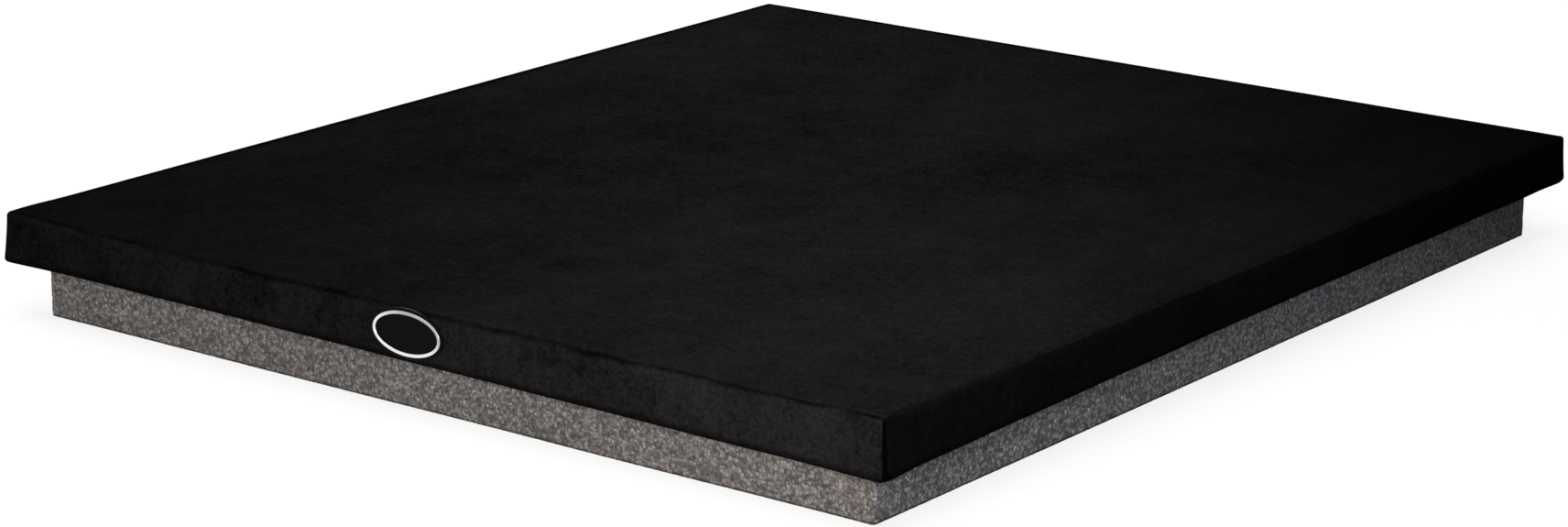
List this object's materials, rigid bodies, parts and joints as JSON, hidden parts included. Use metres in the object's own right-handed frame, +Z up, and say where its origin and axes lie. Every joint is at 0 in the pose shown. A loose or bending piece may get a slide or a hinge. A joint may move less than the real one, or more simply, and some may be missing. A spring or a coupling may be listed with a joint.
{
  "type": "speaker isolation pad",
  "caption": "Flat rectangular platform for a loudspeaker: a velour-wrapped board with folded corners, glued on a slab of grey foam that is set in all round, with a plain oval badge.",
  "frame": {"origin": "on the floor under the middle of the pad's bounding box, on the foam's underside", "axes": "+Z up; +Y along the pad's longer side, away from the side with the badge; +X along the shorter side, to the right as one faces the badge"},
  "size_m": [0.4518, 0.5219, 0.0456],
  "materials": {
    "velour": "black cut-pile velour with a soft nap",
    "foam": "matt grey open-cell foam with pale and dark flecks",
    "fibreboard": "bare medium-density fibreboard, sanded edges",
    "badge_metal": "bright raised rim on a black enamelled plate",
    "staple_wire": "zinc-plated wire"
  },
  "bodies": {
    "root": {"foam_base": "foam", "board_core": "fibreboard", "velour_cover": "velour", "badge_plate": "badge_metal", "staple_01": "staple_wire", "staple_02": "staple_wire", "staple_03": "staple_wire", "staple_04": "staple_wire", "staple_05": "staple_wire", "staple_06": "staple_wire", "staple_07": "staple_wire", "staple_08": "staple_wire", "staple_09": "staple_wire", "staple_10": "staple_wire", "staple_11": "staple_wire", "staple_12": "staple_wire", "staple_13": "staple_wire", "staple_14": "staple_wire", "staple_15": "staple_wire", "staple_16": "staple_wire", "staple_17": "staple_wire", "staple_18": "staple_wire", "staple_19": "staple_wire", "staple_20": "staple_wire", "staple_21": "staple_wire", "staple_22": "staple_wire", "staple_23": "staple_wire", "staple_24": "staple_wire", "staple_25": "staple_wire", "staple_26": "staple_wire"}
  },
  "joints": []
}
